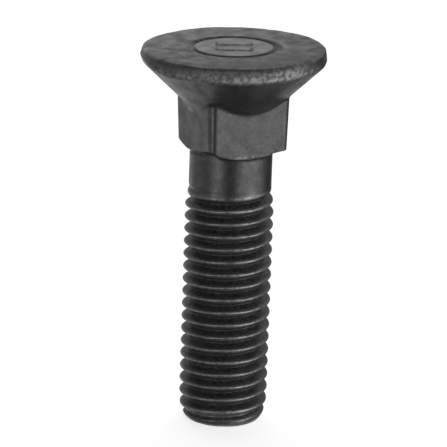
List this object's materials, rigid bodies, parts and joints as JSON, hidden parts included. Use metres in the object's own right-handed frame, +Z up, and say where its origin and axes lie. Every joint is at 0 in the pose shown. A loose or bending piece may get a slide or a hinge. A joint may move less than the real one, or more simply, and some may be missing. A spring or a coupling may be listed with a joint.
{
  "type": "blade bolt",
  "caption": "Forged blade bolt with a flat countersunk head, a square neck that stops it turning, a plain shank and a coarse right-hand thread.",
  "frame": {"origin": "centre of the flat end of the thread, on the bolt's axis", "axes": "+Z runs up the bolt's axis from the thread end to the head; X and Y are square to the flats of the neck"},
  "size_m": [0.0326, 0.0326, 0.068],
  "materials": {
    "black_steel": "forged and rolled steel with a thin satin black oxide"
  },
  "bodies": {
    "root": {"blade_bolt": "black_steel"}
  },
  "joints": []
}
